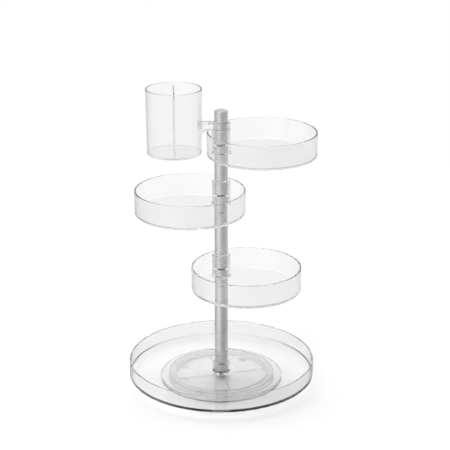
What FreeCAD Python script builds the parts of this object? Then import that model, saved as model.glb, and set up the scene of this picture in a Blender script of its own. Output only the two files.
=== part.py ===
"""Rotating makeup organizer: a clear turntable tray, a sectioned aluminium post, three clear
round trays that swivel on the post, and a divided brush cup on a swinging arm.

Millimetres, +Z up. The origin is on the table under the post's axis. Azimuths are in degrees
about the post, from +X towards +Y.
"""
import FreeCAD, Part
import os
import re

doc = FreeCAD.newDocument("organizer")
sheet = doc.addObject("Spreadsheet::Sheet", "Sheet")

# Driving dimensions: alias, value.
DIMENSIONS = [
    # foot: the fixed plate that the turntable runs on
    ("foot_radius", 93.0),
    ("foot_plate", 2.5),
    ("foot_rim_wall", 2.2),
    ("foot_rim_height", 5.0),
    ("rib_width", 1.8),
    ("rib_height", 1.8),
    ("rib_count", 4),
    ("rib_azimuth", 15.0),
    ("pad_radius", 6.0),
    ("pad_height", 1.5),
    ("pad_inset", 27.0),
    ("pad_count", 4),
    ("boss_radius", 11.0),
    ("boss_counterbore_radius", 7.5),
    ("boss_counterbore_depth", 4.6),
    # glide ring that the turntable tray slides round on, between two low walls of the foot
    ("glide_inset", 12.5),
    ("glide_width", 11.0),
    ("glide_height", 7.2),
    ("track_wall", 1.3),
    ("track_height", 2.4),
    ("track_clearance", 0.2),
    # turntable tray
    ("base_radius", 141.0),
    ("base_wall", 2.2),
    ("base_floor", 3.0),
    ("base_height", 25.0),
    ("base_rim_round", 0.7),
    ("base_bottom_round", 0.9),
    ("base_inner_round", 2.0),
    ("socket_wall", 2.5),
    ("socket_depth", 13.5),
    ("socket_flare", 1.8),
    # post
    ("post_radius", 10.0),
    ("post_wall", 1.5),
    ("post_reach", 17.5),
    ("cap_height", 4.0),
    ("cap_edge", 0.8),
    ("cap_spigot", 9.0),
    ("plug_length", 14.0),
    ("plug_clearance", 0.05),
    ("stud_radius", 3.0),
    ("stud_reach", 11.0),
    ("thread_clearance", 0.05),
    ("screw_head_radius", 5.5),
    ("screw_head_height", 2.4),
    ("screw_hex", 4.0),
    ("screw_hex_depth", 1.4),
    ("washer_radius", 6.8),
    ("washer_thickness", 0.8),
    ("bush_radius", 6.0),
    ("running_clearance", 0.05),
    ("turning_gap", 0.25),
    ("sliding_clearance", 0.3),
    # swivelling trays: one moulding used three times
    ("tray_radius", 80.9),
    ("tray_wall", 2.6),
    ("tray_floor", 3.0),
    ("tray_height", 36.0),
    ("tray_bottom_round", 4.0),
    ("tray_inner_round", 2.4),
    ("tray_rim_round", 0.8),
    ("hub_offset", 60.0),
    ("hub_radius", 13.5),
    ("hub_height", 38.0),
    ("hub_flare", 1.6),
    ("web_level", 14.9),
    ("web_thickness", 2.0),
    ("lower_tray_level", 168.0),
    ("lower_tray_azimuth", -51.8),
    ("middle_tray_rise", 116.0),
    ("middle_tray_azimuth", -138.9),
    ("upper_tray_rise", 77.2),
    ("upper_tray_azimuth", -4.4),
    # brush cup on its arm
    ("cup_offset", 69.2),
    ("cup_azimuth", -170.0),
    ("cup_bottom_radius", 39.8),
    ("cup_top_radius", 40.9),
    ("cup_wall", 2.0),
    ("cup_floor", 3.0),
    ("cup_height", 96.8),
    ("cup_drop", 33.8),
    ("cup_rim_round", 0.6),
    ("cup_bottom_round", 2.0),
    ("divider_thickness", 1.8),
    ("divider_drop", 5.0),
    ("divider_clearance", 0.1),
    ("divider_turn", -7.3),
    ("arm_height", 10.0),
    ("arm_width", 22.0),
    ("arm_round", 1.0),
    ("saddle_width", 27.0),
    ("saddle_drop", 2.2),
    ("saddle_thickness", 3.0),
    ("saddle_clearance", 0.05),
    ("arm_washer_thickness", 0.6),
]
for row, (alias, value) in enumerate(DIMENSIONS, start=1):
    sheet.set(f"A{row}", alias)
    sheet.set(f"B{row}", str(value))
    sheet.setAlias(f"B{row}", alias)
doc.recompute()


def size(alias):
    """The value of one driving dimension."""
    return float(sheet.get(alias))


def bind(item, **expressions):
    """Binds properties of a document object to sheet cells, written as plain expressions of aliases."""
    for prop, text in expressions.items():
        item.setExpression(prop.replace("__", "."), with_sheet(text))
    return item


def with_sheet(text):
    """Puts the sheet's name before each alias of an expression."""
    known = {alias for alias, _ in DIMENSIONS}
    return re.sub("[a-z_]+", lambda word: "Sheet." + word[0] if word[0] in known else word[0], text)


def cylinder(name, radius, height, x="0", z="0"):
    """A vertical cylinder whose radius, height and place are expressions."""
    item = doc.addObject("Part::Cylinder", name)
    return bind(item, Radius=radius, Height=height, Placement__Base__x=x, Placement__Base__z=z)


def cone(name, bottom, top, height, x="0", z="0"):
    """A vertical cone whose radii, height and place are expressions."""
    item = doc.addObject("Part::Cone", name)
    return bind(item, Radius1=bottom, Radius2=top, Height=height,
                Placement__Base__x=x, Placement__Base__z=z)


def block(name, length, width, height, x="0", y="0", z="0"):
    """A box whose sizes and lowest corner are expressions."""
    item = doc.addObject("Part::Box", name)
    return bind(item, Length=length, Width=width, Height=height,
                Placement__Base__x=x, Placement__Base__y=y, Placement__Base__z=z)


def fuse(name, *parts):
    """One solid out of several that meet."""
    item = doc.addObject("Part::MultiFuse", name)
    item.Shapes = list(parts)
    item.Refine = True
    return item


def cut(name, base, *tools):
    """The base less each tool."""
    tool = tools[0] if len(tools) == 1 else fuse(name + "_tools", *tools)
    item = doc.addObject("Part::Cut", name)
    item.Base = base
    item.Tool = tool
    return item


def common(name, *parts):
    """What several solids share."""
    item = doc.addObject("Part::MultiCommon", name)
    item.Shapes = list(parts)
    return item


def rounded(name, base, radius, wanted):
    """Rounds the edges of base for which wanted(edge) is true."""
    doc.recompute()
    chosen = [i for i, edge in enumerate(base.Shape.Edges, start=1) if wanted(edge)]
    if not chosen:
        raise ValueError(name + ": no edge to round")
    item = doc.addObject("Part::Fillet", name)
    item.Base = base
    item.Edges = [(i, radius, radius) for i in chosen]
    return item


def is_circle(edge, radius, level):
    """True for a whole circle of this radius that lies flat at this level."""
    round_edge = isinstance(edge.Curve, Part.Circle) and len(edge.Vertexes) == 1
    return (round_edge and abs(edge.Curve.Radius - radius) < 1e-3
            and abs(edge.Curve.Center.z - level) < 1e-3)


def placed(item, label, azimuth="0", z="0", x="0"):
    """Names a finished sub-part, lifts it to its level and turns it to its azimuth about the post."""
    item.Label = label
    item.Placement = FreeCAD.Placement()
    item.Placement.Rotation = FreeCAD.Rotation(FreeCAD.Vector(0, 0, 1), 1.0)
    bind(item, Placement__Rotation__Angle=azimuth, Placement__Base__z=z, Placement__Base__x=x)
    return item


def ring(name, outer, inner, height, z="0"):
    """A plain ring about the post's axis."""
    return cut(name, cylinder(name + "_outer", outer, height, z=z),
               cylinder(name + "_inner", inner, height + " + 2", z=z + " - 1"))


def repeated(name, base, count_alias, circle, first=0.0):
    """Copies of a small solid evenly round the post, as one sub-part of separate solids."""
    doc.recompute()
    count = int(size(count_alias))
    shapes = []
    for number in range(count):
        azimuth = first + 360.0 / count * number
        shape = base.Shape.copy()
        shape.translate(FreeCAD.Vector(circle, 0, 0))
        shape.rotate(FreeCAD.Vector(0, 0, 0), FreeCAD.Vector(0, 0, 1), azimuth)
        shapes.append(shape)
    item = doc.addObject("Part::Feature", name)
    item.Shape = Part.makeCompound(shapes)
    return item


# Levels that several sub-parts share, as expressions of the driving dimensions.
FOOT_TOP = "pad_height + foot_plate"
BASE_LEVEL = FOOT_TOP + " + glide_height + turning_gap"
BASE_FLOOR_TOP = BASE_LEVEL + " + base_floor"
BORE = "post_radius + sliding_clearance"
TUBE_BORE = "post_radius - post_wall"
PLUG = "post_radius - post_wall - plug_clearance"
THREAD = "stud_radius + thread_clearance"
GLIDE_OUTER = "foot_radius - glide_inset"
GLIDE_INNER = GLIDE_OUTER + " - glide_width"
TIERS = ("lower", "middle", "upper")
TRAY_LEVEL = {
    "lower": "lower_tray_level",
    "middle": "lower_tray_level + middle_tray_rise",
    "upper": "lower_tray_level + middle_tray_rise + upper_tray_rise",
}
ARM_WASHER_LEVEL = TRAY_LEVEL["upper"] + " + hub_height + turning_gap"
ARM_LEVEL = ARM_WASHER_LEVEL + " + arm_washer_thickness"
POST_TOP = ARM_LEVEL + " + arm_height + post_reach"
CUP_LEVEL = ARM_LEVEL + " - cup_drop"


def make_foot():
    """The fixed foot: a plate with a rim, four ribs, the ring's track and the pivot boss, on pads."""
    plate = cylinder("foot_plate_disc", "foot_radius", "foot_plate", z="pad_height")
    rim = ring("foot_rim", "foot_radius", "foot_radius - foot_rim_wall", "foot_rim_height",
               z="pad_height")
    outer_track = ring("foot_outer_track", GLIDE_OUTER + " + track_clearance + track_wall",
                       GLIDE_OUTER + " + track_clearance", "foot_plate + track_height", z="pad_height")
    inner_track = ring("foot_inner_track", GLIDE_INNER + " - track_clearance",
                       GLIDE_INNER + " - track_clearance - track_wall", "foot_plate + track_height",
                       z="pad_height")
    boss = cylinder("foot_boss", "boss_radius", BASE_LEVEL + " - turning_gap - pad_height",
                    z="pad_height")
    # each rib starts inside the boss and ends inside the inner wall of the track
    rib = block("foot_rib_bar", GLIDE_INNER + " - track_clearance - track_wall / 2 - boss_radius"
                " + rib_width", "rib_width", "foot_plate + rib_height", x="boss_radius - rib_width",
                y="0 - rib_width / 2", z="pad_height")
    ribs = repeated("foot_ribs", rib, "rib_count", 0.0, size("rib_azimuth"))
    counterbore = cylinder("foot_counterbore", "boss_counterbore_radius", "boss_counterbore_depth + 1",
                           z="pad_height - 1")
    bore = cylinder("foot_bore", "stud_radius + running_clearance", POST_TOP)
    foot = cut("foot_solid", fuse("foot_fused", plate, rim, outer_track, inner_track, boss, ribs),
               counterbore, bore)
    placed(foot, "foot_disc")

    pad = cylinder("pad", "pad_radius", "pad_height")
    half_step = 180.0 / size("pad_count")
    pads = repeated("pads", pad, "pad_count", size("foot_radius") - size("pad_inset"),
                    size("rib_azimuth") + half_step)
    pads.Label = "foot_pads"
    return [foot, pads]


def make_glide_ring():
    """The low-friction ring that lies in the foot's track and carries the turntable tray."""
    glide = ring("glide", GLIDE_OUTER, GLIDE_INNER, "glide_height", z=FOOT_TOP)
    return [placed(glide, "glide_ring")]


def make_base_tray():
    """The turntable tray: a shallow round dish with the post's socket at its middle."""
    outer = cylinder("base_outer", "base_radius", "base_height", z=BASE_LEVEL)
    level = size("pad_height") + size("foot_plate") + size("glide_height") + size("turning_gap")
    outer = rounded("base_outer_round", outer, size("base_bottom_round"),
                    lambda edge: is_circle(edge, size("base_radius"), level))
    inner = cylinder("base_inner", "base_radius - base_wall", "base_height", z=BASE_FLOOR_TOP)
    floor_level = level + size("base_floor")
    inner = rounded("base_inner_round", inner, size("base_inner_round"),
                    lambda edge: is_circle(edge, size("base_radius") - size("base_wall"), floor_level))
    socket_radius = "post_radius + sliding_clearance + socket_wall"
    socket = cylinder("base_socket", socket_radius, "base_floor + socket_depth", z=BASE_LEVEL)
    flare = cone("base_flare", socket_radius + " + socket_flare", socket_radius, "socket_flare",
                 z=BASE_FLOOR_TOP)
    dish = fuse("base_fused", cut("base_dish", outer, inner), socket, flare)
    bore = cylinder("base_bore", BORE, "socket_depth + 1", z=BASE_FLOOR_TOP)
    hole = cylinder("base_hole", THREAD, POST_TOP)
    solid = cut("base_cut", dish, bore, hole)
    rim_level = level + size("base_height")
    tray = rounded("base_tray_solid", solid, size("base_rim_round"),
                   lambda edge: any(is_circle(edge, size("base_radius") - inset, rim_level)
                                    for inset in (0.0, size("base_wall"))))
    placed(tray, "base_tray")
    return [tray]


def make_pivot():
    """The shouldered screw that holds the post down and is the turntable's axle, and its washer."""
    step = "pad_height + boss_counterbore_depth - turning_gap"
    washer = ring("pivot_washer_ring", "washer_radius", THREAD, "washer_thickness",
                  z=step + " - washer_thickness")
    placed(washer, "pivot_washer")
    head_bottom = step + " - washer_thickness - screw_head_height"
    head = cylinder("screw_head", "screw_head_radius", "screw_head_height", z=head_bottom)
    shank = cylinder("screw_shank", "stud_radius", BASE_FLOOR_TOP + " + stud_reach - (" + head_bottom
                     + ")", z=head_bottom)
    key = doc.addObject("Part::Prism", "screw_key")
    key.Polygon = 6
    bind(key, Circumradius="screw_hex / 2", Height="screw_hex_depth + 1",
         Placement__Base__z=head_bottom + " - 1")
    screw = cut("pivot_screw_solid", fuse("screw_fused", head, shank), key)
    placed(screw, "pivot_screw")
    return [washer, screw]


def seam(tier):
    """The levels, as expressions, of the two tube ends that hold a tier's web between them."""
    lower = TRAY_LEVEL[tier] + " + web_level - turning_gap"
    upper = TRAY_LEVEL[tier] + " + web_level + web_thickness + turning_gap"
    return lower, upper


def make_post():
    """Four aluminium tubes with a threaded plug in each end, joined by studs, and the end cap."""
    made = []
    ends = [BASE_FLOOR_TOP]
    for tier in TIERS:
        ends.extend(seam(tier))
    ends.append(POST_TOP + " - cap_height")
    tubes = ("post_tube_lower", "post_tube_middle", "post_tube_upper", "post_tube_top")
    for number, tube_name in enumerate(tubes):
        bottom, top = ends[2 * number], ends[2 * number + 1]
        length = f"{top} - ({bottom})"
        tube = ring(tube_name + "_ring", "post_radius", TUBE_BORE, length, z=bottom)
        made.append(placed(tube, tube_name))
        plug = ring(tube_name + "_low_plug", PLUG, THREAD, "plug_length", z=bottom)
        made.append(placed(plug, tube_name.replace("tube", "plug") + "_bottom"))
        if number < len(TIERS):
            plug = ring(tube_name + "_high_plug", PLUG, THREAD, "plug_length",
                        z=top + " - plug_length")
            made.append(placed(plug, tube_name.replace("tube", "plug") + "_top"))

    for tier in TIERS:
        lower, upper = seam(tier)
        stud = cylinder(tier + "_stud_rod", "stud_radius",
                        f"{upper} + stud_reach - ({lower} - stud_reach)", z=lower + " - stud_reach")
        made.append(placed(stud, tier + "_joint_stud", z=lower + " - stud_reach"))
        bush = ring(tier + "_bush_ring", "bush_radius", THREAD, f"{upper} - ({lower})", z=lower)
        made.append(placed(bush, tier + "_swivel_bush"))

    cap_bottom = POST_TOP + " - cap_height"
    crown = cylinder("cap_crown", "post_radius", "cap_height", z=cap_bottom)
    doc.recompute()
    crown_top = crown.Shape.BoundBox.ZMax
    crown = rounded("cap_crown_round", crown, size("cap_edge"),
                    lambda edge: is_circle(edge, size("post_radius"), crown_top))
    spigot = cylinder("cap_spigot_rod", PLUG, "cap_spigot + 1", z=cap_bottom + " - cap_spigot")
    cap = fuse("cap_solid", crown, spigot)
    made.append(placed(cap, "post_end_cap"))
    return made


def make_tray(tier):
    """One swivelling tray about the post: a round dish beside the post, and the hub that turns on it."""
    outer = cylinder(tier + "_outer", "tray_radius", "tray_height", x="hub_offset")
    outer = rounded(tier + "_outer_round", outer, size("tray_bottom_round"),
                    lambda edge: is_circle(edge, size("tray_radius"), 0.0))
    inner = cylinder(tier + "_inner", "tray_radius - tray_wall", "tray_height", x="hub_offset",
                     z="tray_floor")
    inner = rounded(tier + "_inner_round", inner, size("tray_inner_round"),
                    lambda edge: is_circle(edge, size("tray_radius") - size("tray_wall"),
                                           size("tray_floor")))
    hub = cylinder(tier + "_hub", "hub_radius", "hub_height")
    flare = cone(tier + "_flare", "hub_radius + hub_flare", "hub_radius", "hub_flare", z="tray_floor")
    dish = fuse(tier + "_fused", cut(tier + "_dish", outer, inner), hub, flare)
    low_bore = cylinder(tier + "_low_bore", BORE, "web_level + 1", z="0 - 1")
    high_bore = cylinder(tier + "_high_bore", BORE, "hub_height", z="web_level + web_thickness")
    web_hole = cylinder(tier + "_web_hole", "bush_radius + running_clearance", "hub_height")
    solid = cut(tier + "_cut", dish, low_bore, high_bore, web_hole)

    def on_rim(edge):
        rims = [(size("tray_radius"), size("tray_height")),
                (size("tray_radius") - size("tray_wall"), size("tray_height")),
                (size("hub_radius"), size("hub_height"))]
        return any(is_circle(edge, radius, level) for radius, level in rims)

    tray = rounded(tier + "_tray_solid", solid, size("tray_rim_round"), on_rim)
    return placed(tray, tier + "_tray", azimuth=tier + "_tray_azimuth", z=TRAY_LEVEL[tier])


def make_cup():
    """The brush cup: a drafted beaker beside the post."""
    outer = cone("cup_outer", "cup_bottom_radius", "cup_top_radius", "cup_height", x="cup_offset")
    outer = rounded("cup_outer_round", outer, size("cup_bottom_round"),
                    lambda edge: is_circle(edge, size("cup_bottom_radius"), 0.0))
    inner = cone("cup_inner", "cup_bottom_radius - cup_wall", "cup_top_radius - cup_wall",
                 "cup_height", x="cup_offset", z="cup_floor")
    solid = cut("cup_cut", outer, inner)
    cup = rounded("cup_solid", solid, size("cup_rim_round"),
                  lambda edge: is_circle(edge, size("cup_top_radius"), size("cup_height")))
    return placed(cup, "brush_cup", azimuth="cup_azimuth", z=CUP_LEVEL)


def make_divider():
    """The upright plate that splits the cup; its sides follow the cup's draft."""
    plate = block("divider_plate", "divider_thickness", "cup_top_radius * 2",
                  "cup_height - cup_floor - divider_drop - divider_clearance",
                  x="0 - divider_thickness / 2", y="0 - cup_top_radius",
                  z="cup_floor + divider_clearance")
    room = cone("divider_room", "cup_bottom_radius - cup_wall - divider_clearance",
                "cup_top_radius - cup_wall - divider_clearance", "cup_height", z="cup_floor")
    divider = common("divider_solid", plate, room)
    placed(divider, "cup_divider", azimuth="cup_azimuth + divider_turn", z=CUP_LEVEL,
           x="cup_offset * cos(cup_azimuth)")
    return bind(divider, Placement__Base__y="cup_offset * sin(cup_azimuth)")


def make_arm():
    """The arm: a ring round the post, a bar, and a saddle bonded to the cup's wall; and its washer."""
    collar = cylinder("arm_collar", "hub_radius", "arm_height")
    bar = block("arm_bar", "cup_offset - cup_bottom_radius - saddle_thickness / 2", "arm_width",
                "arm_height", y="0 - arm_width / 2")
    # deep enough to reach the cup's wall at its own sides, where the wall curves away
    saddle = block("arm_saddle", "saddle_thickness + saddle_width / 4", "saddle_width",
                   "arm_height + saddle_drop", x="cup_offset - cup_bottom_radius - saddle_thickness",
                   y="0 - saddle_width / 2", z="0 - saddle_drop")
    bore = cylinder("arm_bore", BORE, "arm_height * 3", z="0 - arm_height")
    # the cup's own drafted outside, a little larger, shapes the saddle's face
    seat = cone("arm_seat", "cup_bottom_radius + saddle_clearance", "cup_top_radius + saddle_clearance",
                "cup_height", x="cup_offset", z="0 - cup_drop")
    arm = cut("arm_solid", fuse("arm_fused", collar, bar, saddle), bore, seat)

    def on_collar(edge):
        return any(is_circle(edge, size("hub_radius"), level) for level in (0.0, size("arm_height")))

    def straight_along(edge):
        flat = isinstance(edge.Curve, (Part.Line, Part.LineSegment))
        return flat and abs(edge.Curve.Direction.x) > 0.9 and edge.Length > size("arm_round") * 4

    doc.recompute()
    arm = rounded("arm_rounded", arm, size("arm_round") * 0.8,
                  lambda edge: on_collar(edge) or straight_along(edge))
    placed(arm, "cup_arm", azimuth="cup_azimuth", z=ARM_LEVEL)
    washer = ring("arm_washer_ring", "hub_radius - tray_rim_round", BORE, "arm_washer_thickness",
                  z=ARM_WASHER_LEVEL)
    placed(washer, "arm_washer")
    return [arm, washer]


def write(items):
    """Checks every object of the document, then writes each sub-part to its STEP file."""
    doc.recompute()
    failed = [o.Name for o in doc.Objects if "Invalid" in o.State or "Error" in o.State]
    if failed:
        raise RuntimeError("failed objects: " + ", ".join(failed))
    os.makedirs("parts", exist_ok=True)
    for item in items:
        if item.Shape.isNull() or not item.Shape.isValid():
            raise RuntimeError("bad shape: " + item.Label)
        if not item.Shape.Solids:
            raise RuntimeError("no solid: " + item.Label)
        item.Shape.exportStep(os.path.join("parts", item.Label + ".step"))
        print(f"{item.Label:24s} {len(item.Shape.Solids):3d} solid(s) {item.Shape.Volume:12.1f} mm3")


sub_parts = make_foot() + make_glide_ring() + make_base_tray() + make_pivot() + make_post()
sub_parts += [make_tray(tier) for tier in TIERS]
sub_parts += [make_cup(), make_divider()] + make_arm()
write(sub_parts)
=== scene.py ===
"""Looks for a clear rotating makeup organizer: a turntable tray, a brushed post, swivelling trays, a cup."""
from math import cos, pi, radians, sin, sqrt

import bpy
from bpy.props import FloatProperty, FloatVectorProperty, IntProperty, PointerProperty
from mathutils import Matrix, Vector


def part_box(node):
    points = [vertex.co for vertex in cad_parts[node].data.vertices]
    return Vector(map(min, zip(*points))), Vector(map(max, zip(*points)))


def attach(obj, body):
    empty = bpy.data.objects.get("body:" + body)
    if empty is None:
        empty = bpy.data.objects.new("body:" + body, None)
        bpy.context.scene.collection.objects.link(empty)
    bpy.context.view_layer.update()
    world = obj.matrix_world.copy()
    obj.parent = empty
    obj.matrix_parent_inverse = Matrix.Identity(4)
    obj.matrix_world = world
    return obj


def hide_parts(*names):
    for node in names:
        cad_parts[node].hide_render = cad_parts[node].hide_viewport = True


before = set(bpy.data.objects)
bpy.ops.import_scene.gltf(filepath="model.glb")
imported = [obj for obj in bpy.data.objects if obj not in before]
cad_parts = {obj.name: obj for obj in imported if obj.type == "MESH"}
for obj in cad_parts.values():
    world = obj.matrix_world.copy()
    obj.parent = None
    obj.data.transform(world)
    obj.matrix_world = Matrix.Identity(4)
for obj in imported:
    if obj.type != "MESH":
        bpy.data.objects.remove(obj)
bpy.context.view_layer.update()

bl_info = {
    "name": "Rotating makeup organizer",
    "version": (1, 0, 0),
    "blender": (4, 5, 0),
    "location": "View3D > Sidebar > Organizer",
    "description": "Models and finishes a clear rotating makeup organizer on its frame",
    "category": "Add Mesh",
}

TIERS = ("lower", "middle", "upper")
TUBES = ("lower", "middle", "upper", "top")

# keeps the names of these finishes apart from those of the frame's own materials
FINISH_PREFIX = "finish "

# faces in a full turn: more where a piece is large and its outline is plainly seen
TRAY_FACES = 384
CUP_FACES = 256
SEAT_FACES = 160
POST_FACES = 96
WASHER_FACES = 64
BUSH_FACES = 48
PAD_FACES = 40

SMOOTH_ANGLE = radians(32.0)  # edges that turn more than this stay hard
MERGE_DISTANCE = 2e-6  # points nearer to each other than this become one
START_SIZE = 0.001  # width of the plane that is merged into a profile's first point

# soft light and dark that the metal and the plastic mirror, from the organizer's back by its left,
# front and right: degrees and brightness
STUDIO_TONES = ((-180, 0.75), (-150, 0.6), (-125, 0.5), (-95, 0.62), (-68, 0.85),
                (-47, 1.1), (-28, 0.93), (-8, 0.67), (10, 0.52), (30, 0.45),
                (48, 0.43), (70, 0.48), (95, 0.59), (125, 0.7), (180, 0.75))

# the softboxes: name, place, width and height, power in watts
LAMPS = (("overhead", (-0.12, 0.3, 2.3), (0.9, 0.9), 25.0),
         ("front", (-0.9, -1.6, 1.5), (0.9, 0.9), 6.0))
LAMP_AIM = (0.0, 0.0, 0.62)  # the point that both lamps face
SENSOR_WIDTH = 36.0  # millimetres
VIEW_END = 50.0  # metres
LIGHT_TURNS = 32  # light turns many times inside the plastic before it leaves

NOISE_SPAN = (0.3, 0.7)  # where most of a noise's values lie


def middle_of(node):
    """The middle of a node, seen from above."""
    low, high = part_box(node)
    return (low[0] + high[0]) / 2, (low[1] + high[1]) / 2


def half_width(node):
    """The radius of a round node."""
    low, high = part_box(node)
    return (high[0] - low[0]) / 2


def level_of(node):
    """The height of a node's underside."""
    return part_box(node)[0][2]


def top_of(node):
    """The height of a node's top."""
    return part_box(node)[1][2]


def length(name, description, default):
    """A size in metres for the sidebar."""
    return FloatProperty(name=name, description=description, default=default, min=0.0, precision=4,
                         subtype="DISTANCE", unit="LENGTH")


def tint(name, description, default):
    """A colour for the sidebar."""
    return FloatVectorProperty(name=name, description=description, default=default, size=4,
                               min=0.0, max=1.0, subtype="COLOR")


def amount(name, description, default, highest=1.0):
    """A plain number for the sidebar."""
    return FloatProperty(name=name, description=description, default=default, min=0.0, max=highest)


class FinishSettings(bpy.types.PropertyGroup):
    """Colours and gloss of the materials."""
    acrylic_tint: tint("Acrylic tint", "Colour of the clear moulded plastic",
                       (0.98, 0.98, 0.98, 1.0))
    acrylic_depth_tint: tint("Acrylic depth tint", "Colour that long ways through the plastic take on",
                             (0.38, 0.38, 0.38, 1.0))
    acrylic_density: amount("Acrylic density", "How fast the plastic darkens with depth", 0.8, 100.0)
    acrylic_fading: amount("Acrylic fading", "Share of the light lost each time it turns inside", 0.005)
    thick_density: amount("Thick acrylic density", "The same for the turntable tray and the foot", 3.0, 100.0)
    thick_fading: amount("Thick acrylic fading", "The same for the turntable tray and the foot", 0.04)
    acrylic_ripple: amount("Acrylic ripple", "Strength of the faint waves that moulding leaves", 0.008)
    acrylic_shade: tint("Acrylic shade", "Colour of the light that one surface lets by",
                        (0.87, 0.87, 0.87, 1.0))
    acrylic_bend: amount("Acrylic bend", "Refractive index", 1.49, 3.0)
    acrylic_roughness: amount("Acrylic roughness", "Haze of the polished plastic", 0.0)
    aluminium_colour: tint("Aluminium", "Colour of the brushed post", (0.77, 0.765, 0.76, 1.0))
    aluminium_roughness: amount("Aluminium roughness", "Spread of the post's highlights", 0.26)
    nylon_colour: tint("Nylon", "Colour of the glide ring and bushes", (0.96, 0.965, 0.96, 1.0))
    nylon_shade: tint("Nylon shade", "Colour of the light that nylon and rubber let by",
                      (0.88, 0.88, 0.88, 1.0))
    rubber_colour: tint("Rubber", "Colour of the pads under the foot", (0.85, 0.86, 0.86, 1.0))
    steel_colour: tint("Steel", "Colour of the screw and studs", (0.45, 0.45, 0.46, 1.0))


class FootSettings(bpy.types.PropertyGroup):
    """Sizes of the fixed foot and the ring that the turntable slides on."""
    plate: length("Plate", "Thickness of the foot's plate", 0.0025)
    rim_wall: length("Rim wall", "Thickness of the foot's upright rim", 0.0022)
    rim_height: length("Rim height", "Height of the rim above the plate's underside", 0.005)
    track_wall: length("Track wall", "Thickness of the two low walls beside the glide ring", 0.0013)
    track_height: length("Track height", "Height of those walls above the plate", 0.0024)
    track_clearance: length("Track clearance", "Gap between the glide ring and its walls", 0.0002)
    glide_inset: length("Glide inset", "From the foot's rim in to the glide ring", 0.0125)
    glide_width: length("Glide width", "Width of the glide ring", 0.011)
    boss_radius: length("Boss radius", "Radius of the pivot boss", 0.011)
    counterbore_radius: length("Counterbore radius", "Radius of the hollow for the screw's head", 0.0075)
    counterbore_depth: length("Counterbore depth", "Depth of that hollow", 0.0046)
    pivot_bore: length("Pivot bore", "Radius of the hole for the pivot screw", 0.00305)
    rib_width: length("Rib width", "Thickness of each rib", 0.0018)
    rib_height: length("Rib height", "Height of each rib above the plate", 0.0018)
    rib_turn: FloatProperty(name="Rib turn", description="Direction of the first rib",
                            default=radians(15.0), subtype="ANGLE")
    rib_count: IntProperty(name="Ribs", description="Number of ribs", default=4, min=1)
    pad_radius: length("Pad radius", "Radius of each rubber pad", 0.006)
    pad_inset: length("Pad inset", "From the foot's rim in to a pad's middle", 0.027)


class BaseTraySettings(bpy.types.PropertyGroup):
    """Sizes of the turntable tray."""
    wall: length("Wall", "Thickness of the tray's wall", 0.0022)
    floor: length("Floor", "Thickness of the tray's floor", 0.003)
    rim_round: length("Rim round", "Rounding of the rim's edges", 0.0007)
    bottom_round: length("Bottom round", "Rounding of the lower outer edge", 0.0009)
    inner_round: length("Inner round", "Rounding where the wall meets the floor", 0.002)
    socket_wall: length("Socket wall", "Thickness of the socket round the post", 0.0025)
    socket_depth: length("Socket depth", "Height of the socket above the floor", 0.0135)
    socket_flare: length("Socket flare", "Rounding at the foot of the socket", 0.0018)
    fit: length("Fit", "Radial gap between the post and what goes round it", 0.0003)


class PostSettings(bpy.types.PropertyGroup):
    """Sizes of the post's tubes and its end cap."""
    wall: length("Wall", "Wall of the tubes", 0.0015)
    edge: length("Edge", "Small chamfer on each tube's end", 0.00025)
    cap_edge: length("Cap edge", "Chamfer of the end cap", 0.0009)


class SwivelTraySettings(bpy.types.PropertyGroup):
    """Sizes that the swivelling trays share."""
    wall: length("Wall", "Thickness of a tray's wall", 0.0026)
    floor: length("Floor", "Thickness of a tray's floor", 0.003)
    height: length("Height", "Height of a tray's rim above its underside", 0.036)
    bottom_round: length("Bottom round", "Rounding of the lower outer edge", 0.004)
    inner_round: length("Inner round", "Rounding where the wall meets the floor", 0.0024)
    rim_round: length("Rim round", "Rounding of the rim's edges", 0.0008)
    hub_radius: length("Hub radius", "Outer radius of the hub", 0.0135)
    hub_flare: length("Hub flare", "Rounding at the foot of the hub", 0.0016)
    web_level: length("Web level", "Height of the hub's inner web", 0.0149)
    web_thickness: length("Web thickness", "Thickness of that web", 0.002)
    bush_hole: length("Bush hole", "Radius of the hole in the web", 0.00605)


class CupSettings(bpy.types.PropertyGroup):
    """Sizes of the brush cup, its divider and its arm."""
    bottom_radius: length("Bottom radius", "Outer radius at the bottom", 0.0398)
    wall: length("Wall", "Thickness of the cup's wall", 0.002)
    floor: length("Floor", "Thickness of the cup's floor", 0.003)
    rim_round: length("Rim round", "Rounding of the rim", 0.0006)
    bottom_round: length("Bottom round", "Rounding of the lower edge", 0.002)
    divider: length("Divider", "Thickness of the divider", 0.0018)
    divider_turn: FloatProperty(name="Divider turn", description="Direction across the divider",
                                default=radians(-177.3), subtype="ANGLE")
    arm_height: length("Arm height", "Height of the arm's bar", 0.010)
    arm_width: length("Arm width", "Width of the arm's bar", 0.022)
    arm_turn: FloatProperty(name="Arm turn", description="Direction of the arm",
                            default=radians(-170.0), subtype="ANGLE")
    arm_round: length("Arm round", "Rounding of the arm's edges", 0.0009)
    saddle_width: length("Saddle width", "Width of the plate against the cup", 0.027)
    saddle_thickness: length("Saddle thickness", "Least thickness of that plate", 0.003)


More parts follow.
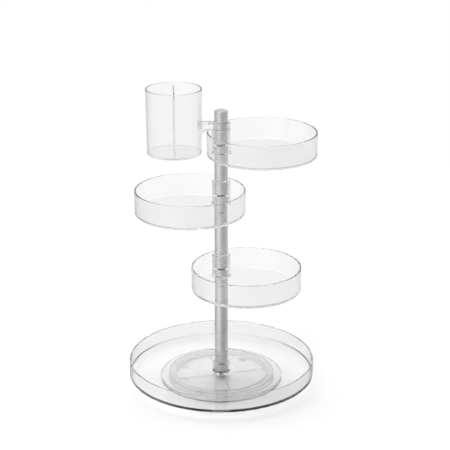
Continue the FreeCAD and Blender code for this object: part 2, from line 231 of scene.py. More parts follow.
class StageSettings(bpy.types.PropertyGroup):
    """The camera, the lamps and the floor."""
    lens: FloatProperty(name="Lens", description="Focal length", default=112.9, unit="CAMERA")
    tilt: FloatProperty(name="Tilt", description="How far the camera looks down",
                        default=0.339, subtype="ANGLE")
    camera_place: FloatVectorProperty(name="Camera place", description="Where the camera stands",
                                      default=(0.00565, -1.9855, 0.9513), subtype="TRANSLATION",
                                      unit="LENGTH")
    floor_size: length("Floor size", "Width of the floor", 2.2)
    floor_colour: tint("Floor", "Colour that the floor throws back on the organizer", (0.9, 0.9, 0.9, 1.0))
    floor_white: amount("Floor white", "Brightness of the floor where it is seen directly", 1.08, 2.0)
    lit_radius: length("Lit radius", "Where the floor stops taking its light from the lamps", 0.19)
    lit_edge: length("Lit edge", "Width of that change", 0.12)
    floor_seen: amount("Floor seen", "Brightness of the floor seen through the plastic", 0.99, 2.0)
    backdrop_seen: amount("Backdrop seen", "Brightness of the backdrop seen through the plastic", 0.98, 2.0)
    studio_seen: amount("Studio seen", "Brightness of the rest of the studio seen through the plastic",
                        0.87, 2.0)
    backdrop_edge: amount("Backdrop edge", "Where the backdrop begins, from 0 at the sides", 0.6)
    backdrop_full: amount("Backdrop full", "Where it is quite bright, up to 1 right behind", 0.95)
    fill: amount("Fill", "Strength of the soft light from all round", 0.42, 10.0)


# ---------------------------------------------------------------- modelling helpers

def leave_edit_mode():
    """Goes back to object mode with nothing selected."""
    if bpy.context.object and bpy.context.object.mode != "OBJECT":
        bpy.ops.object.mode_set(mode="OBJECT")
    bpy.ops.object.select_all(action="DESELECT")


def make_active(piece):
    """Selects one piece alone."""
    leave_edit_mode()
    piece.select_set(True)
    bpy.context.view_layer.objects.active = piece


def settle(piece, name):
    """Names a new piece and puts its place into its mesh."""
    make_active(piece)
    bpy.ops.object.transform_apply(location=True, rotation=True, scale=True)
    piece.name = name
    piece.data.name = name
    return piece


def arc(centre, radius, start, end, steps=6):
    """Profile points (radius, height) along a round, with the angles in degrees."""
    turns = [radians(start + (end - start) * step / steps) for step in range(steps + 1)]
    return [(centre[0] + radius * cos(turn), centre[1] + radius * sin(turn)) for turn in turns]


def rim(outer, inner, top, rounding):
    """Profile points over a wall's rounded top, from its outside to its inside."""
    return (arc((outer - rounding, top - rounding), rounding, 0, 90, steps=4)
            + arc((inner + rounding, top - rounding), rounding, 90, 180, steps=4))


def spun(name, profile, centre=(0.0, 0.0), faces=TRAY_FACES):
    """A solid of revolution: a profile of (radius, height) points drawn out, then spun round."""
    leave_edit_mode()
    radius, level = profile[0]
    bpy.ops.mesh.primitive_plane_add(size=START_SIZE, location=(centre[0] + radius, centre[1], level))
    piece = bpy.context.object
    bpy.ops.object.mode_set(mode="EDIT")
    bpy.ops.mesh.select_mode(type="VERT")
    bpy.ops.mesh.select_all(action="SELECT")
    bpy.ops.mesh.merge(type="CENTER")
    for here, there in zip(profile, profile[1:]):
        step = (there[0] - here[0], 0.0, there[1] - here[1])
        bpy.ops.mesh.extrude_vertices_move(TRANSFORM_OT_translate={"value": step})
    bpy.ops.mesh.select_all(action="SELECT")
    bpy.ops.mesh.spin(steps=faces, angle=2 * pi, center=(centre[0], centre[1], 0.0),
                      axis=(0.0, 0.0, 1.0))
    bpy.ops.mesh.select_all(action="SELECT")
    bpy.ops.mesh.remove_doubles(threshold=MERGE_DISTANCE)
    bpy.ops.mesh.normals_make_consistent(inside=False)
    return settle(piece, name)


def bar(name, low, high, edge=0.0, turn=0.0):
    """A straight bar, its edges rounded where asked, turned about the upright line through the origin."""
    leave_edit_mode()
    bpy.ops.mesh.primitive_cube_add(size=1.0)
    piece = bpy.context.object
    piece.scale = [high[axis] - low[axis] for axis in range(3)]
    piece.location = [(high[axis] + low[axis]) / 2 for axis in range(3)]
    settle(piece, name)
    if edge > 0.0:
        bpy.ops.object.mode_set(mode="EDIT")
        bpy.ops.mesh.select_all(action="SELECT")
        bpy.ops.mesh.bevel(offset=edge, segments=3, affect="EDGES")
        leave_edit_mode()
    piece.rotation_euler = (0.0, 0.0, turn)
    return settle(piece, name)


def combine(piece, other, operation):
    """Joins another solid to a piece, or cuts it away, and uses it up."""
    change = piece.modifiers.new(operation.title(), "BOOLEAN")
    change.operation = operation
    change.solver = "EXACT"
    change.object = other
    make_active(piece)
    bpy.ops.object.modifier_apply(modifier=change.name)
    make_active(other)
    bpy.ops.object.delete()


def smooth(piece):
    """Smooth shading that keeps flat faces flat and hard edges hard."""
    make_active(piece)
    bpy.ops.object.shade_smooth_by_angle(angle=SMOOTH_ANGLE)
    weighted = piece.modifiers.new("Flat faces", "WEIGHTED_NORMAL")
    weighted.keep_sharp = True
    bpy.ops.object.modifier_apply(modifier=weighted.name)
    return piece


# ---------------------------------------------------------------- materials

def new_material(name):
    """An empty node material and its output."""
    material = bpy.data.materials.new(name)
    material.use_nodes = True
    material.node_tree.nodes.clear()
    output = material.node_tree.nodes.new("ShaderNodeOutputMaterial")
    return material, material.node_tree, output


def surface(tree, colour, roughness, **inputs):
    """A Principled shader; the names of further inputs have underscores for spaces."""
    shader = tree.nodes.new("ShaderNodeBsdfPrincipled")
    shader.inputs["Base Color"].default_value = colour
    shader.inputs["Roughness"].default_value = roughness
    for name, value in inputs.items():
        shader.inputs[name.replace("_", " ")].default_value = value
    return shader


def mixed(tree, share, first, second):
    """A mix of two shaders; share is a number or a socket."""
    mix = tree.nodes.new("ShaderNodeMixShader")
    if isinstance(share, float):
        mix.inputs["Fac"].default_value = share
    else:
        tree.links.new(share, mix.inputs["Fac"])
    tree.links.new(first, mix.inputs[1])
    tree.links.new(second, mix.inputs[2])
    return mix.outputs["Shader"]


def blended(tree, share, first, second):
    """A mix of two colours; each of the three is a plain value or a socket."""
    mix = tree.nodes.new("ShaderNodeMix")
    mix.data_type = "RGBA"
    for name, value in (("Factor", share), ("A", first), ("B", second)):
        if isinstance(value, bpy.types.NodeSocket):
            tree.links.new(value, mix.inputs[name])
        else:
            mix.inputs[name].default_value = value
    return mix.outputs["Result"]


def calculated(tree, operation, *values):
    """A sum on sockets or numbers."""
    node = tree.nodes.new("ShaderNodeMath")
    node.operation = operation
    for socket, value in zip(node.inputs, values):
        if isinstance(value, bpy.types.NodeSocket):
            tree.links.new(value, socket)
        else:
            socket.default_value = value
    return node.outputs["Value"]


def eased(tree, value, start, end):
    """A number eased from 0 to 1 while a value goes from start to end."""
    node = tree.nodes.new("ShaderNodeMapRange")
    node.interpolation_type = "SMOOTHSTEP"
    tree.links.new(value, node.inputs["Value"])
    node.inputs["From Min"].default_value = start
    node.inputs["From Max"].default_value = end
    return node.outputs["Result"]


def grey(value):
    """A grey colour."""
    return (value, value, value, 1.0)


def by_ray(tree, direct, through, mirrored, other):
    """One colour for each way the stage is met: seen directly, through plastic, in a mirror, or as light."""
    path = tree.nodes.new("ShaderNodeLightPath")
    # the way has been turned by one mirror: its glossy depth is 1, give or take a half
    mirrored_once = calculated(tree, "COMPARE", path.outputs["Glossy Depth"], 1.0, 0.5)
    lighting = calculated(tree, "MINIMUM", path.outputs["Diffuse Depth"], 1.0)
    colour = blended(tree, path.outputs["Is Transmission Ray"], other, through)
    colour = blended(tree, mirrored_once, colour, mirrored)
    colour = blended(tree, lighting, colour, other)
    return blended(tree, path.outputs["Is Camera Ray"], colour, direct)


def studio_tones(tree, place):
    """Soft light and dark cards round the organizer, which its metal and plastic mirror."""
    split = tree.nodes.new("ShaderNodeSeparateXYZ")
    tree.links.new(place, split.inputs["Vector"])
    forward = calculated(tree, "MULTIPLY", split.outputs["Y"], -1.0)
    turn = calculated(tree, "ARCTAN2", split.outputs["X"], forward)
    spread = tree.nodes.new("ShaderNodeMapRange")
    spread.inputs["From Min"].default_value = -pi
    spread.inputs["From Max"].default_value = pi
    tree.links.new(turn, spread.inputs["Value"])
    ramp = tree.nodes.new("ShaderNodeValToRGB")
    ramp.color_ramp.interpolation = "B_SPLINE"
    stops = ramp.color_ramp.elements
    for index, (angle, tone) in enumerate(STUDIO_TONES):
        spot = (angle + 180.0) / 360.0
        stop = stops[index] if index < 2 else stops.new(spot)
        stop.position = spot
        stop.color = grey(tone)
    tree.links.new(spread.outputs["Result"], ramp.inputs["Fac"])
    return ramp.outputs["Color"]


def grain(tree, scale, detail, stretch=(1.0, 1.0, 1.0)):
    """A noise on the object's own coordinates, stretched along an axis."""
    place = tree.nodes.new("ShaderNodeTexCoord")
    mapping = tree.nodes.new("ShaderNodeMapping")
    mapping.inputs["Scale"].default_value = stretch
    noise = tree.nodes.new("ShaderNodeTexNoise")
    noise.inputs["Scale"].default_value = scale
    noise.inputs["Detail"].default_value = detail
    tree.links.new(place.outputs["Object"], mapping.inputs["Vector"])
    tree.links.new(mapping.outputs["Vector"], noise.inputs["Vector"])
    return noise


def add_bump(tree, shader, noise, strength, distance):
    """Lets a noise raise and lower the surface."""
    bump = tree.nodes.new("ShaderNodeBump")
    bump.inputs["Strength"].default_value = strength
    bump.inputs["Distance"].default_value = distance
    tree.links.new(noise.outputs["Fac"], bump.inputs["Height"])
    tree.links.new(bump.outputs["Normal"], shader.inputs["Normal"])


def vary_roughness(tree, shader, noise, low, high):
    """Lets a noise vary the gloss between two values."""
    spread = tree.nodes.new("ShaderNodeMapRange")
    spread.inputs["From Min"].default_value = NOISE_SPAN[0]
    spread.inputs["From Max"].default_value = NOISE_SPAN[1]
    spread.inputs["To Min"].default_value = low
    spread.inputs["To Max"].default_value = high
    tree.links.new(noise.outputs["Fac"], spread.inputs["Value"])
    tree.links.new(spread.outputs["Result"], shader.inputs["Roughness"])


def let_light_by(tree, output, body, shade):
    """Lamps shine through a clear piece with a little loss, instead of stopping at it."""
    path = tree.nodes.new("ShaderNodeLightPath")
    passing = tree.nodes.new("ShaderNodeBsdfTransparent")
    passing.inputs["Color"].default_value = shade
    tree.links.new(mixed(tree, path.outputs["Is Shadow Ray"], body, passing.outputs["BSDF"]),
                   output.inputs["Surface"])


def clear_acrylic(name, fading, density):
    """Polished clear acrylic with faint moulding waves; its rims and corners draw grey lines of their own."""
    finish = bpy.context.scene.organizer_finish
    material, tree, output = new_material(FINISH_PREFIX + name)
    shader = surface(tree, finish.acrylic_tint, finish.acrylic_roughness,
                     Transmission_Weight=1.0, IOR=finish.acrylic_bend)
    waves = grain(tree, scale=34.0, detail=1.0, stretch=(1.0, 1.0, 0.35))
    add_bump(tree, shader, waves, strength=finish.acrylic_ripple, distance=0.0006)
    # the light that turns inside without getting out grows a little weaker
    lossy = tree.nodes.new("ShaderNodeBsdfRefraction")
    lossy.inputs["Color"].default_value = finish.acrylic_tint
    lossy.inputs["Roughness"].default_value = 0.0
    lossy.inputs["IOR"].default_value = finish.acrylic_bend
    body = mixed(tree, fading, shader.outputs["BSDF"], lossy.outputs["BSDF"])
    let_light_by(tree, output, body, finish.acrylic_shade)
    depth = tree.nodes.new("ShaderNodeVolumeAbsorption")
    depth.inputs["Color"].default_value = finish.acrylic_depth_tint
    depth.inputs["Density"].default_value = density
    tree.links.new(depth.outputs["Volume"], output.inputs["Volume"])
    return material


def thin_acrylic():
    """The plastic of the swivelling trays, the cup, its divider and its arm."""
    finish = bpy.context.scene.organizer_finish
    return clear_acrylic("clear_acrylic", finish.acrylic_fading, finish.acrylic_density)


def thick_acrylic():
    """The plastic of the turntable tray and the foot, which darkens more at its edges."""
    finish = bpy.context.scene.organizer_finish
    return clear_acrylic("thick_acrylic", finish.thick_fading, finish.thick_density)


def brushed_aluminium():
    """Aluminium brushed round the tube: fine rings in its colour, gloss and surface."""
    finish = bpy.context.scene.organizer_finish
    material, tree, output = new_material(FINISH_PREFIX + "brushed_aluminium")
    shader = surface(tree, finish.aluminium_colour, finish.aluminium_roughness, Metallic=1.0,
                     Anisotropic=0.55)
    tree.links.new(shader.outputs["BSDF"], output.inputs["Surface"])
    rings = grain(tree, scale=60.0, detail=6.0, stretch=(0.25, 0.25, 45.0))
    vary_roughness(tree, shader, rings, low=finish.aluminium_roughness * 0.85,
                   high=finish.aluminium_roughness * 1.15)
    add_bump(tree, shader, rings, strength=0.06, distance=0.0001)
    groove_shade = 0.94
    groove = [channel * groove_shade for channel in finish.aluminium_colour[:3]] + [1.0]
    tree.links.new(blended(tree, rings.outputs["Fac"], groove, finish.aluminium_colour),
                   shader.inputs["Base Color"])
    return material


def natural_nylon():
    """Natural nylon: frosted and half clear, with a faint moulded grain."""
    finish = bpy.context.scene.organizer_finish
    material, tree, output = new_material(FINISH_PREFIX + "nylon")
    shader = surface(tree, finish.nylon_colour, roughness=0.18, Transmission_Weight=0.97, IOR=1.53)
    speckle = grain(tree, scale=900.0, detail=3.0)
    vary_roughness(tree, shader, speckle, low=0.12, high=0.24)
    add_bump(tree, shader, speckle, strength=0.1, distance=0.00003)
    let_light_by(tree, output, shader.outputs["BSDF"], finish.nylon_shade)
    return material


def clear_rubber():
    """Soft half-clear rubber with a fine pebble."""
    finish = bpy.context.scene.organizer_finish
    material, tree, output = new_material(FINISH_PREFIX + "rubber")
    shader = surface(tree, finish.rubber_colour, roughness=0.5, Transmission_Weight=0.7, IOR=1.41)
    pebble = grain(tree, scale=1500.0, detail=4.0)
    vary_roughness(tree, shader, pebble, low=0.4, high=0.6)
    add_bump(tree, shader, pebble, strength=0.3, distance=0.0001)
    let_light_by(tree, output, shader.outputs["BSDF"], finish.nylon_shade)
    return material


def turned_metal(name, colour):
    """The metal of the hidden plugs, studs and screw, with fine turning marks."""
    material, tree, output = new_material(FINISH_PREFIX + name)
    shader = surface(tree, colour, roughness=0.32, Metallic=1.0)
    tree.links.new(shader.outputs["BSDF"], output.inputs["Surface"])
    marks = grain(tree, scale=80.0, detail=4.0, stretch=(0.4, 0.4, 30.0))
    vary_roughness(tree, shader, marks, low=0.26, high=0.42)
    add_bump(tree, shader, marks, strength=0.15, distance=0.0001)
    return material


def finish_named(name):
    """The finish of that name, made when it is first asked for."""
    finish = bpy.context.scene.organizer_finish
    makers = {
        "clear_acrylic": thin_acrylic,
        "thick_acrylic": thick_acrylic,
        "brushed_aluminium": brushed_aluminium,
        "nylon": natural_nylon,
        "rubber": clear_rubber,
        "steel": lambda: turned_metal("steel", finish.steel_colour),
        "plug_aluminium": lambda: turned_metal("plug_aluminium", finish.aluminium_colour),
    }
    return bpy.data.materials.get(FINISH_PREFIX + name) or makers[name]()


def wear(piece, finish):
    """Gives a piece one finish all over."""
    piece.data.materials.clear()
    piece.data.materials.append(finish_named(finish))


def hand_over(piece, body, finish, node):
    """Finishes a piece: its looks, the body that it moves with and the node that it stands for."""
    wear(piece, finish)
    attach(piece, body)
    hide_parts(node)


def dress(nodes, finish):
    """Gives a finish to nodes that keep the shape they have in the frame."""
    for node in nodes:
        wear(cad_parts[node], finish)


# ---------------------------------------------------------------- pieces

def tray_wall(sizes, radius, low, top):
    """A tray's wall in profile: round its lower edge, up, over the rim and down to the floor."""
    inside, deck = radius - sizes.wall, low + sizes.floor
    return (arc((radius - sizes.bottom_round, low + sizes.bottom_round), sizes.bottom_round, -90, 0)
            + rim(radius, inside, top, sizes.rim_round)
            + arc((inside - sizes.inner_round, deck + sizes.inner_round), sizes.inner_round, 0, -90))


def post_bore():
    """The radius of the bore in what goes round the post."""
    return half_width("post_tube_lower") + bpy.context.scene.organizer_base.fit


class ORGANIZER_OT_foot(bpy.types.Operator):
    """Model the fixed foot, its rubber pads and the glide ring"""
    bl_idname = "organizer.foot"
    bl_label = "Foot"

    def execute(self, context):
        foot = context.scene.organizer_foot
        glide_outer = half_width("foot_disc") - foot.glide_inset
        glide_inner = glide_outer - foot.glide_width
        self.disc(foot, glide_outer, glide_inner)
        self.glide(glide_outer, glide_inner)
        self.pads(foot)
        return {"FINISHED"}

    def disc(self, foot, glide_outer, glide_inner):
        """The plate with its rim, the track's two walls, the pivot boss and the ribs."""
        radius, boss = half_width("foot_disc"), foot.boss_radius
        low, boss_top = level_of("foot_disc"), top_of("foot_disc")
        deck = low + foot.plate
        track_top = deck + foot.track_height
        outer_track = glide_outer + foot.track_clearance
        inner_track = glide_inner - foot.track_clearance
        rim_top = low + foot.rim_height
        step = low + foot.counterbore_depth
        edge = 0.0003
        profile = [(foot.counterbore_radius, low), (radius - edge, low), (radius, low + edge)]
        profile += [(radius, rim_top - edge), (radius - edge, rim_top)]
        profile += [(radius - foot.rim_wall, rim_top), (radius - foot.rim_wall, deck)]
        profile += [(outer_track + foot.track_wall, deck), (outer_track + foot.track_wall, track_top)]
        profile += [(outer_track, track_top), (outer_track, deck), (inner_track, deck)]
        profile += [(inner_track, track_top), (inner_track - foot.track_wall, track_top)]
        profile += [(inner_track - foot.track_wall, deck), (boss, deck)]
        profile += [(boss, boss_top - edge), (boss - edge, boss_top)]
        profile += [(foot.pivot_bore, boss_top), (foot.pivot_bore, step)]
        profile += [(foot.counterbore_radius, step), (foot.counterbore_radius, low)]
        disc = spun("foot_plate", profile)
        for number in range(foot.rib_count):
            rib = bar("rib", (boss - foot.rib_width, -foot.rib_width / 2, low + edge),
                      (inner_track - foot.track_wall / 2, foot.rib_width / 2, deck + foot.rib_height),
                      edge, foot.rib_turn + 2 * pi * number / foot.rib_count)
            combine(disc, rib, "UNION")
        smooth(disc)
        hand_over(disc, "foot", "thick_acrylic", "foot_disc")

    def glide(self, outer, inner):
        """The ring that the turntable slides on, rounded at its top."""
        low, top = level_of("glide_ring"), top_of("glide_ring")
        bead = 0.0008
        profile = [(inner, low), (outer, low)] + rim(outer, inner, top, bead) + [(inner, low)]
        hand_over(smooth(spun("glide_bearing", profile)), "foot", "nylon", "glide_ring")

    def pads(self, foot):
        """The pads under the plate, each between two ribs."""
        low = level_of("foot_disc")
        reach = half_width("foot_disc") - foot.pad_inset
        crown = 0.0006
        profile = [(0.0, 0.0)] + arc((foot.pad_radius - crown, crown), crown, -90, 0, steps=4)
        profile += [(foot.pad_radius, low), (0.0, low)]
        for number in range(foot.rib_count):
            turn = foot.rib_turn + 2 * pi * (number + 0.5) / foot.rib_count
            pad = spun(f"pad_{number + 1}", profile, (reach * cos(turn), reach * sin(turn)), PAD_FACES)
            hand_over(smooth(pad), "foot", "rubber", "foot_pads")


class ORGANIZER_OT_base_tray(bpy.types.Operator):
    """Model the turntable tray with the socket that holds the post"""
    bl_idname = "organizer.base_tray"
    bl_label = "Turntable tray"

    def execute(self, context):
        base = context.scene.organizer_base
        low, top = level_of("base_tray"), top_of("base_tray")
        deck = low + base.floor
        hole, bore = context.scene.organizer_foot.pivot_bore, post_bore()
        socket, socket_top = bore + base.socket_wall, deck + base.socket_depth
        flare, lip = base.socket_flare, 0.0005
        profile = [(hole, low)] + tray_wall(base, half_width("base_tray"), low, top)
        profile += arc((socket + flare, deck + flare), flare, 270, 180)
        profile += arc((socket - lip, socket_top - lip), lip, 0, 90, steps=3)
        profile += [(bore, socket_top), (bore, deck), (hole, deck), (hole, low)]
        tray = smooth(spun("turntable_tray", profile))
        hand_over(tray, "turntable", "thick_acrylic", "base_tray")
        return {"FINISHED"}


class ORGANIZER_OT_post(bpy.types.Operator):
    """Model the brushed tubes of the post, its end cap and the bushes"""
    bl_idname = "organizer.post"
    bl_label = "Post"

    def execute(self, context):
        post = context.scene.organizer_post
        for tier in TUBES:
            self.tube(post, tier)
        self.cap(post)
        for tier in TIERS:
            self.bush(context.scene.organizer_foot.pivot_bore, tier)
        dress([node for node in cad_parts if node.startswith("post_plug_")], "plug_aluminium")
        dress([tier + "_joint_stud" for tier in TIERS] + ["pivot_screw", "pivot_washer"], "steel")
        return {"FINISHED"}

    def tube(self, post, tier):
        """One length of the post, chamfered at both ends."""
        node = "post_tube_" + tier
        radius, inside = half_width(node), half_width(node) - post.wall
        low, top = level_of(node), top_of(node)
        profile = [(inside, low), (radius - post.edge, low), (radius, low + post.edge)]
        profile += [(radius, top - post.edge), (radius - post.edge, top), (inside, top), (inside, low)]
        tube = smooth(spun("tube_" + tier, profile, faces=POST_FACES))
        hand_over(tube, "turntable", "brushed_aluminium", node)

    def cap(self, post):
        """The cap on the post, with a spigot that goes down into the top tube."""
        radius = half_width("post_end_cap")
        low, top = level_of("post_end_cap"), top_of("post_end_cap")
        seam = top_of("post_tube_top")
        spigot = radius - post.wall - post.edge / 4
        profile = [(0.0, low), (spigot, low), (spigot, seam), (radius - post.edge, seam)]
        profile += [(radius, seam + post.edge), (radius, top - post.cap_edge)]
        profile += [(radius - post.cap_edge, top), (0.0, top)]
        cap = smooth(spun("end_cap", profile, faces=POST_FACES))
        hand_over(cap, "turntable", "brushed_aluminium", "post_end_cap")

    def bush(self, inside, tier):
        """The bush on a joint's stud, which the hub's web turns round."""
        node = tier + "_swivel_bush"
        radius, low, top = half_width(node), level_of(node), top_of(node)
        profile = [(inside, low), (radius, low), (radius, top), (inside, top), (inside, low)]
        bush = smooth(spun("bush_" + tier, profile, faces=BUSH_FACES))
        hand_over(bush, "turntable", "nylon", node)


class ORGANIZER_OT_swivel_trays(bpy.types.Operator):
    """Model the round trays that swivel on the post, each with its hub"""
    bl_idname = "organizer.swivel_trays"
    bl_label = "Swivel trays"

    def execute(self, context):
        for tier in TIERS:
            self.tray(context.scene.organizer_tray, tier)
        return {"FINISHED"}

    def tray(self, sizes, tier):
        """One tray: a dish beside the post, joined to a hub, with the bore cut through both."""
        node = tier + "_tray"
        low, top = level_of(node), top_of(node)
        deck = low + sizes.floor
        profile = [(0.0, low)] + tray_wall(sizes, half_width(node), low, low + sizes.height)
        dish = spun("tray_" + tier, profile + [(0.0, deck)], middle_of(node))

        hub, flare, lip = sizes.hub_radius, sizes.hub_flare, sizes.rim_round
        sunk, land = 0.0008, 0.0004
        profile = [(0.0, low + sunk), (hub + flare + land, low + sunk), (hub + flare + land, deck)]
        profile += arc((hub + flare, deck + flare), flare, 270, 180)
        profile += arc((hub - lip, top - lip), lip, 0, 90, steps=4)
        profile.append((0.0, top))
        combine(dish, spun("hub", profile, faces=POST_FACES), "UNION")

        bore, hole = post_bore(), sizes.bush_hole
        web_low = low + sizes.web_level
        web_top = web_low + sizes.web_thickness
        past = 0.002
        profile = [(0.0, low - past), (bore, low - past), (bore, web_low), (hole, web_low)]
        profile += [(hole, web_top), (bore, web_top), (bore, top + past), (0.0, top + past)]
        combine(dish, spun("bore", profile, faces=POST_FACES), "DIFFERENCE")
        smooth(dish)
        hand_over(dish, tier + "_swivel", "clear_acrylic", node)


class ORGANIZER_OT_cup(bpy.types.Operator):
    """Model the brush cup and the divider inside it"""
    bl_idname = "organizer.cup"
    bl_label = "Brush cup"

    def execute(self, context):
        cup = context.scene.organizer_cup
        low, top = level_of("brush_cup"), top_of("brush_cup")
        # how much the cup widens for each metre of height
        lean = (half_width("brush_cup") - cup.bottom_radius) / (top - low)
        self.beaker(cup, low, top, lean)
        self.divider(cup, low, lean)
        return {"FINISHED"}

    def beaker(self, cup, low, top, lean):
        """The cup itself, a little wider at its rim than at its floor."""
        wide, narrow = half_width("brush_cup"), cup.bottom_radius
        deck = low + cup.floor
        inside = narrow - cup.wall + lean * cup.floor
        foot, corner = cup.bottom_round, 0.0012
        profile = [(0.0, low)] + arc((narrow - foot, low + foot), foot, -90, 0)
        profile += rim(wide, wide - cup.wall, top, cup.rim_round)
        profile += arc((inside - corner, deck + corner), corner, 0, -90, steps=4)
        profile.append((0.0, deck))
        beaker = smooth(spun("brush_beaker", profile, middle_of("brush_cup"), CUP_FACES))
        hand_over(beaker, "cup_arm_body", "clear_acrylic", "brush_cup")

    def divider(self, cup, cup_low, lean):
        """An upright plate across the cup, drawn out at its top as the cup widens."""
        low, top = level_of("cup_divider"), top_of("cup_divider")
        play, edge = 0.00015, 0.0003
        reach = cup.bottom_radius - cup.wall + lean * (low - cup_low) - play
        spread = lean * (top - low)
        plate = bar("divider_plate", (-cup.divider / 2, -reach, low), (cup.divider / 2, reach, top))
        bpy.ops.object.mode_set(mode="EDIT")
        bpy.ops.mesh.select_all(action="DESELECT")
        bpy.ops.object.mode_set(mode="OBJECT")
        for vertex in plate.data.vertices:
            vertex.select = vertex.co.z > (low + top) / 2
        bpy.ops.object.mode_set(mode="EDIT")
        bpy.ops.mesh.select_mode(type="VERT")
        bpy.ops.transform.resize(value=(1.0, (reach + spread) / reach, 1.0),
                                 center_override=(0.0, 0.0, top))
        bpy.ops.mesh.select_all(action="SELECT")
        bpy.ops.mesh.bevel(offset=edge, segments=2, affect="EDGES")
        leave_edit_mode()
        plate.rotation_euler = (0.0, 0.0, cup.divider_turn)
        plate.location = middle_of("brush_cup") + (0.0,)
        smooth(settle(plate, "divider_plate"))
        hand_over(plate, "cup_arm_body", "clear_acrylic", "cup_divider")


class ORGANIZER_OT_arm(bpy.types.Operator):
    """Model the arm that carries the cup, and the washer under it"""
    bl_idname = "organizer.arm"
    bl_label = "Cup arm"

    def execute(self, context):
        cup = context.scene.organizer_cup
        low, top = top_of("cup_arm") - cup.arm_height, top_of("cup_arm")
        centre = middle_of("brush_cup")
        # from the post's axis to the foot of the cup's wall
        to_cup = sqrt(centre[0] ** 2 + centre[1] ** 2) - cup.bottom_radius
        arm = self.ring(cup, context.scene.organizer_tray.hub_radius, low, top)
        combine(arm, self.beam(cup, to_cup, low, top), "UNION")
        combine(arm, self.saddle(cup, to_cup, centre, top), "UNION")
        smooth(arm)
        hand_over(arm, "cup_arm_body", "clear_acrylic", "cup_arm")
        self.washer()
        return {"FINISHED"}

    def ring(self, cup, radius, low, top):
        """The arm's end round the post, as wide as a tray's hub."""
        bore, edge = post_bore(), cup.arm_round
        profile = [(bore, low)] + arc((radius - edge, low + edge), edge, -90, 0, steps=4)
        profile += arc((radius - edge, top - edge), edge, 0, 90, steps=4) + [(bore, top), (bore, low)]
        return spun("swing_arm", profile, faces=POST_FACES)

    def beam(self, cup, to_cup, low, top):
        """The bar from the ring to the saddle, kept clear of the post."""
        bore = post_bore()
        root, inset, past = 0.0006, 0.00005, 0.01
        beam = bar("beam", (bore + root, -cup.arm_width / 2, low + inset),
                   (to_cup - cup.saddle_thickness / 2, cup.arm_width / 2, top - inset),
                   cup.arm_round, cup.arm_turn)
        profile = [(0.0, low - past), (bore, low - past), (bore, top + past), (0.0, top + past)]
        combine(beam, spun("hollow", profile, faces=POST_FACES), "DIFFERENCE")
        return beam

    def saddle(self, cup, to_cup, centre, top):
        """The plate against the cup, hollowed to the cup's own curve."""
        near = to_cup - cup.saddle_thickness
        saddle = bar("saddle", (near, -cup.saddle_width / 2, level_of("cup_arm")),
                     (near + cup.saddle_thickness + cup.saddle_width / 4, cup.saddle_width / 2, top),
                     cup.arm_round / 2, cup.arm_turn)
        cup_low, cup_top = level_of("brush_cup"), top_of("brush_cup")
        play = 0.00005
        profile = [(0.0, cup_low), (cup.bottom_radius + play, cup_low)]
        profile += [(half_width("brush_cup") + play, cup_top), (0.0, cup_top)]
        combine(saddle, spun("seat", profile, centre, SEAT_FACES), "DIFFERENCE")
        return saddle

    def washer(self):
        """The thin washer that the ring turns on."""
        low, top = level_of("arm_washer"), top_of("arm_washer")
        radius, bore, edge = half_width("arm_washer"), post_bore(), 0.00015
        profile = [(bore, low), (radius - edge, low), (radius, low + edge), (radius, top - edge)]
        profile += [(radius - edge, top), (bore, top), (bore, low)]
        washer = smooth(spun("slip_washer", profile, faces=WASHER_FACES))
        hand_over(washer, "cup_arm_body", "nylon", "arm_washer")


# ---------------------------------------------------------------- stage

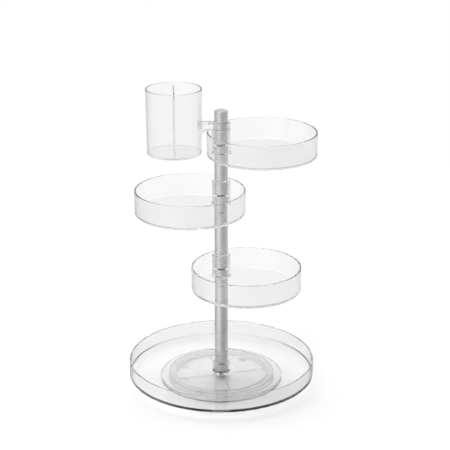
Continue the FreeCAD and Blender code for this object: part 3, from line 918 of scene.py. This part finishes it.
class ORGANIZER_OT_stage(bpy.types.Operator):
    """Set up the floor, the studio light and the camera"""
    bl_idname = "organizer.stage"
    bl_label = "Stage"

    def execute(self, context):
        stage = context.scene.organizer_stage
        self.floor(stage)
        self.world(stage)
        for softbox in LAMPS:
            self.lamp(*softbox)
        leave_edit_mode()
        bpy.ops.object.camera_add(location=stage.camera_place,
                                  rotation=(pi / 2 - stage.tilt, 0.0, 0.0))
        camera = context.object
        camera.name = "camera"
        camera.data.lens = stage.lens
        camera.data.sensor_width = SENSOR_WIDTH
        camera.data.clip_end = VIEW_END
        context.scene.camera = camera
        context.scene.view_settings.view_transform = "Standard"
        context.scene.cycles.max_bounces = LIGHT_TURNS
        context.scene.cycles.glossy_bounces = LIGHT_TURNS
        context.scene.cycles.transmission_bounces = LIGHT_TURNS
        context.scene.cycles.transparent_max_bounces = LIGHT_TURNS
        return {"FINISHED"}

    def floor(self, stage):
        """A white floor that keeps the shadow, evenly lit further off."""
        leave_edit_mode()
        bpy.ops.mesh.primitive_plane_add(size=stage.floor_size)
        floor = bpy.context.object
        floor.name = "floor"
        material, tree, output = new_material("floor")
        place = tree.nodes.new("ShaderNodeTexCoord")
        colour = by_ray(tree, grey(stage.floor_white), grey(stage.floor_seen),
                        studio_tones(tree, place.outputs["Object"]), stage.floor_colour)
        paper = tree.nodes.new("ShaderNodeBsdfDiffuse")
        tree.links.new(colour, paper.inputs["Color"])
        glow = tree.nodes.new("ShaderNodeEmission")
        tree.links.new(colour, glow.inputs["Color"])
        distance = tree.nodes.new("ShaderNodeVectorMath")
        distance.operation = "LENGTH"
        tree.links.new(place.outputs["Object"], distance.inputs[0])
        far = eased(tree, distance.outputs["Value"], stage.lit_radius, stage.lit_radius + stage.lit_edge)
        top = mixed(tree, far, paper.outputs["BSDF"], glow.outputs["Emission"])
        # from below the floor is clear, so that the organizer's underside can be looked at
        side = tree.nodes.new("ShaderNodeNewGeometry")
        clear = tree.nodes.new("ShaderNodeBsdfTransparent")
        tree.links.new(mixed(tree, side.outputs["Backfacing"], top, clear.outputs["BSDF"]),
                       output.inputs["Surface"])
        floor.data.materials.append(material)

    def world(self, stage):
        """White behind the organizer, soft light from all round, and a darker studio beyond."""
        world = bpy.data.worlds.new("studio")
        bpy.context.scene.world = world
        world.use_nodes = True
        tree = world.node_tree
        tree.nodes.clear()
        output = tree.nodes.new("ShaderNodeOutputWorld")
        place = tree.nodes.new("ShaderNodeTexCoord")
        split = tree.nodes.new("ShaderNodeSeparateXYZ")
        tree.links.new(place.outputs["Generated"], split.inputs["Vector"])
        behind = eased(tree, split.outputs["Y"], stage.backdrop_edge, stage.backdrop_full)
        through = blended(tree, behind, grey(stage.studio_seen), grey(stage.backdrop_seen))
        light = tree.nodes.new("ShaderNodeBackground")
        tree.links.new(by_ray(tree, grey(1.0), through, studio_tones(tree, place.outputs["Generated"]),
                              grey(stage.fill)), light.inputs["Color"])
        tree.links.new(light.outputs["Background"], output.inputs["Surface"])

    def lamp(self, name, place, size, power):
        """A softbox that faces the lamps' aim, a little above the organizer."""
        leave_edit_mode()
        bpy.ops.object.light_add(type="AREA", location=place)
        lamp = bpy.context.object
        lamp.name = name
        lamp.data.shape = "RECTANGLE"
        lamp.data.size, lamp.data.size_y = size
        lamp.data.energy = power
        lamp.visible_camera = False
        lamp.visible_transmission = False
        direction = Vector(LAMP_AIM) - lamp.location
        lamp.rotation_euler = direction.to_track_quat("-Z", "Y").to_euler()


# ---------------------------------------------------------------- panel and steps

class ORGANIZER_PT_panel(bpy.types.Panel):
    """Sizes, finishes and the steps of the organizer"""
    bl_idname = "ORGANIZER_PT_panel"
    bl_label = "Makeup organizer"
    bl_space_type = "VIEW_3D"
    bl_region_type = "UI"
    bl_category = "Organizer"

    def draw(self, context):
        for operator in STEPS:
            self.layout.operator(operator.bl_idname)
        for name in SETTINGS:
            group = getattr(context.scene, name)
            box = self.layout.box()
            box.label(text=group.bl_rna.name)
            for prop in group.bl_rna.properties:
                if prop.identifier not in {"rna_type", "name"}:
                    box.prop(group, prop.identifier)


STEPS = (ORGANIZER_OT_foot, ORGANIZER_OT_base_tray, ORGANIZER_OT_post, ORGANIZER_OT_swivel_trays,
         ORGANIZER_OT_cup, ORGANIZER_OT_arm, ORGANIZER_OT_stage)
SETTINGS = {
    "organizer_finish": FinishSettings,
    "organizer_foot": FootSettings,
    "organizer_base": BaseTraySettings,
    "organizer_post": PostSettings,
    "organizer_tray": SwivelTraySettings,
    "organizer_cup": CupSettings,
    "organizer_stage": StageSettings,
}


def register():
    """Registers the settings, the steps and the panel."""
    for name, group in SETTINGS.items():
        bpy.utils.register_class(group)
        setattr(bpy.types.Scene, name, PointerProperty(type=group))
    for operator in STEPS:
        bpy.utils.register_class(operator)
    bpy.utils.register_class(ORGANIZER_PT_panel)


def unregister():
    """Takes the panel, the steps and the settings away again."""
    bpy.utils.unregister_class(ORGANIZER_PT_panel)
    for operator in reversed(STEPS):
        bpy.utils.unregister_class(operator)
    for name, group in SETTINGS.items():
        delattr(bpy.types.Scene, name)
        bpy.utils.unregister_class(group)


def main():
    """Runs every step in order."""
    register()
    bpy.ops.organizer.foot()
    bpy.ops.organizer.base_tray()
    bpy.ops.organizer.post()
    bpy.ops.organizer.swivel_trays()
    bpy.ops.organizer.cup()
    bpy.ops.organizer.arm()
    bpy.ops.organizer.stage()


if __name__ == "__main__":
    main()
